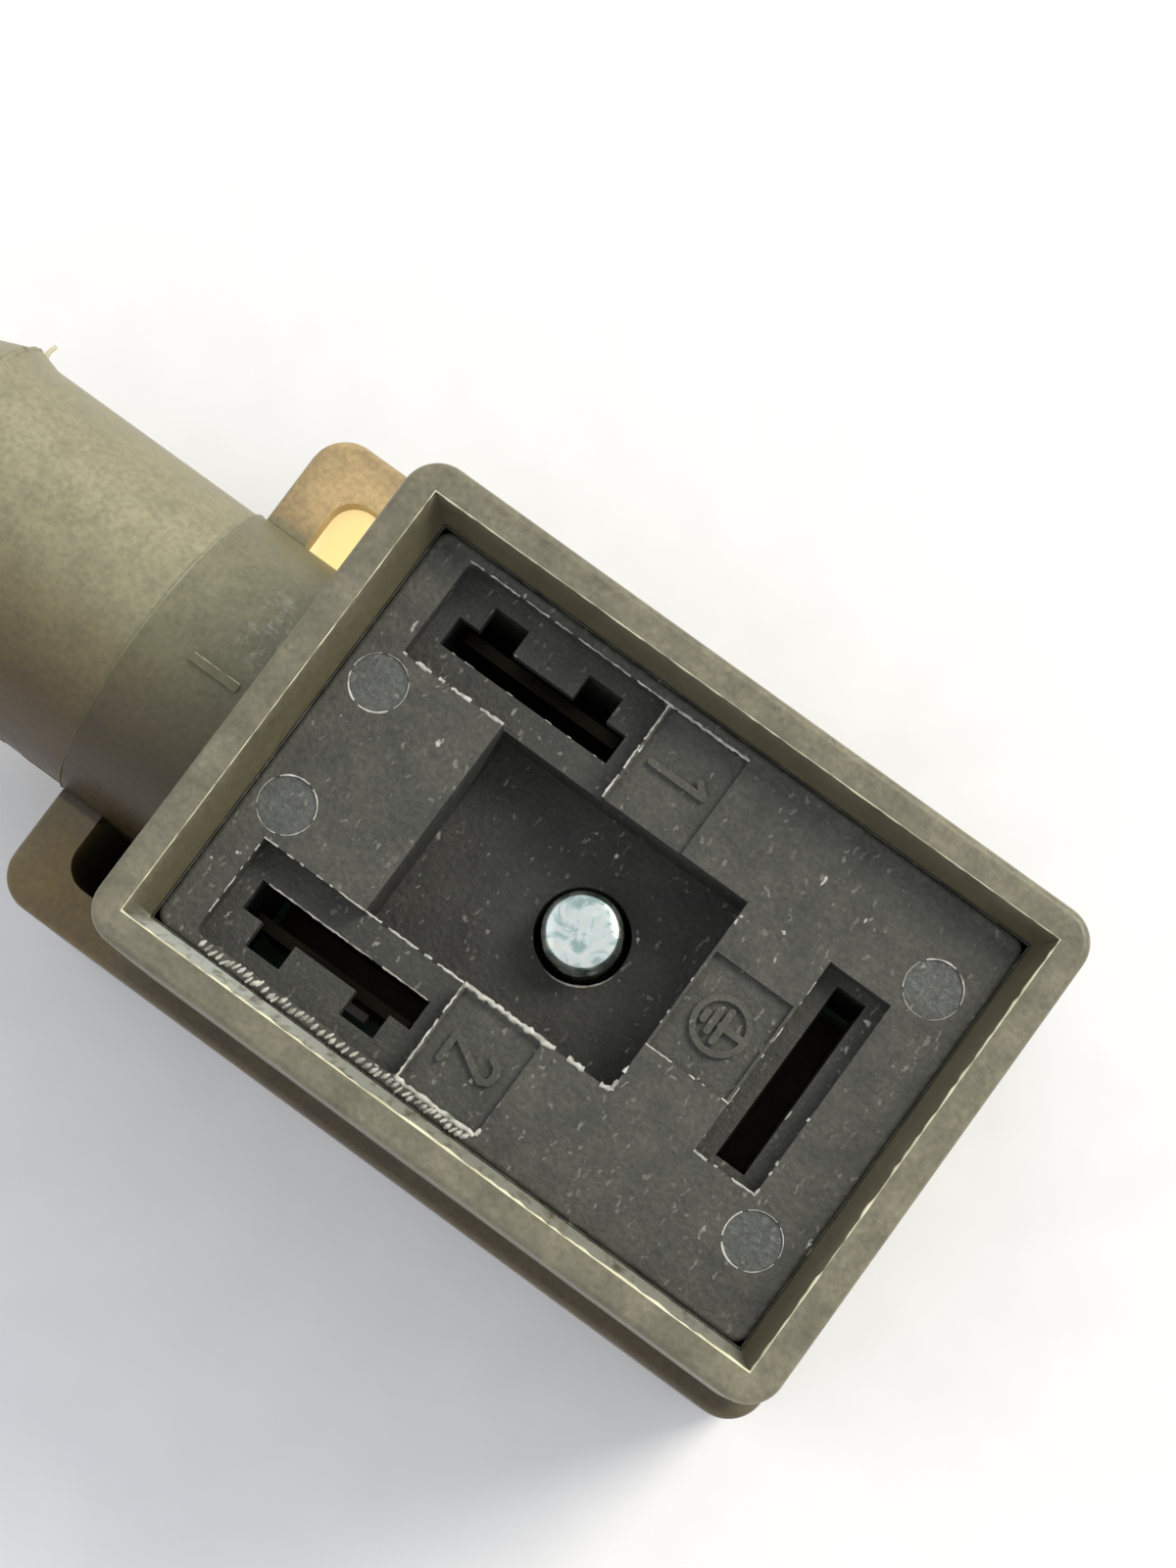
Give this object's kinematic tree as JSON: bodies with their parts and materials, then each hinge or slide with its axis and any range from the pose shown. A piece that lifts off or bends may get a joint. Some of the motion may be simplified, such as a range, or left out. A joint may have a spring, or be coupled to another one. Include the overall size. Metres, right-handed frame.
{
  "type": "solenoid valve cable plug",
  "caption": "Rectangular solenoid valve cable plug in smoke translucent plastic, flat blade sockets, captive fixing screw and cable neck with gland.",
  "frame": {"origin": "on the fixing screw's axis, in the plane of the rim that seats on the coil", "axes": "+Z out of the contact face towards the coil, +X away from the cable, cable neck towards -X"},
  "size_m": [0.0519, 0.0218, 0.027],
  "materials": {
    "smoke_plastic": "translucent, satin moulded",
    "carrier_plastic": "matte, dusty",
    "washer_plastic": "natural nylon",
    "grommet_rubber": "matte",
    "zinc_plated_steel": "bright zinc plated",
    "tinned_brass": "tin plated",
    "tinned_bronze": "tin plated",
    "board_laminate": "solder mask",
    "led_epoxy": "clear tinted epoxy",
    "varistor_coating": "dipped coating",
    "resistor_body": "lacquered"
  },
  "bodies": {
    "housing": {"housing": "smoke_plastic", "cable_grommet": "grommet_rubber"},
    "gland_set": {"thrust_washer": "washer_plastic"},
    "gland": {"gland_screw": "smoke_plastic"},
    "carrier": {"contact_carrier": "carrier_plastic", "circuit_board": "board_laminate", "indicator_led": "led_epoxy", "varistor": "varistor_coating", "series_resistor": "resistor_body", "board_tabs": "tinned_bronze", "live_1_contact": "tinned_brass", "live_2_contact": "tinned_brass", "earth_contact": "tinned_brass"},
    "screw_set": {"screw_seal": "grommet_rubber"},
    "screw": {"fixing_screw": "zinc_plated_steel"},
    "live_1_clamp": {"live_1_clamp_plate": "zinc_plated_steel"},
    "live_1_screw": {"live_1_terminal_screw": "zinc_plated_steel"},
    "live_2_clamp": {"live_2_clamp_plate": "zinc_plated_steel"},
    "live_2_screw": {"live_2_terminal_screw": "zinc_plated_steel"},
    "earth_clamp": {"earth_clamp_plate": "zinc_plated_steel"},
    "earth_screw": {"earth_terminal_screw": "zinc_plated_steel"}
  },
  "joints": [
    {"name": "carrier_slide", "type": "slide", "parent": "housing", "child": "carrier", "axis": [0, 0, 1], "range_m": [0, 0.024]},
    {"name": "screw_play", "type": "slide", "parent": "housing", "child": "screw_set", "axis": [0, 0, 1], "range_m": [0, 0.0034]},
    {"name": "screw_turn", "type": "hinge", "parent": "screw_set", "child": "screw", "pos_m": [0, 0, -0.0258], "axis": [0, 0, 1], "continuous": true},
    {"name": "gland_feed", "type": "slide", "parent": "housing", "child": "gland_set", "axis": [-1, 0, 0], "range_m": [0, 0.004]},
    {"name": "gland_turn", "type": "hinge", "parent": "gland_set", "child": "gland", "pos_m": [-0.0302, 0, -0.0135], "axis": [-1, 0, 0], "range_deg": [0, 1440]},
    {"name": "live_1_clamp_feed", "type": "slide", "parent": "carrier", "child": "live_1_clamp", "axis": [0, 0, 1], "range_m": [0, 0.0018]},
    {"name": "live_1_screw_turn", "type": "hinge", "parent": "live_1_clamp", "child": "live_1_screw", "pos_m": [-0.00635, 0.0055, -0.0215], "axis": [0, 0, 1], "range_deg": [0, 1440]},
    {"name": "live_2_clamp_feed", "type": "slide", "parent": "carrier", "child": "live_2_clamp", "axis": [0, 0, 1], "range_m": [0, 0.0018]},
    {"name": "live_2_screw_turn", "type": "hinge", "parent": "live_2_clamp", "child": "live_2_screw", "pos_m": [-0.00635, -0.0055, -0.0215], "axis": [0, 0, 1], "range_deg": [0, 1440]},
    {"name": "earth_clamp_feed", "type": "slide", "parent": "carrier", "child": "earth_clamp", "axis": [0, 0, 1], "range_m": [0, 0.0018]},
    {"name": "earth_screw_turn", "type": "hinge", "parent": "earth_clamp", "child": "earth_screw", "pos_m": [0.0089, 0, -0.0215], "axis": [0, 0, 1], "range_deg": [0, 1440]}
  ],
  "couplings": [
    {"joint": "gland_turn", "follows": "gland_feed", "rad_per_m": 6283.2},
    {"joint": "live_1_screw_turn", "follows": "live_1_clamp_feed", "rad_per_m": 13963},
    {"joint": "live_2_screw_turn", "follows": "live_2_clamp_feed", "rad_per_m": 13963},
    {"joint": "earth_screw_turn", "follows": "earth_clamp_feed", "rad_per_m": 13963}
  ]
}
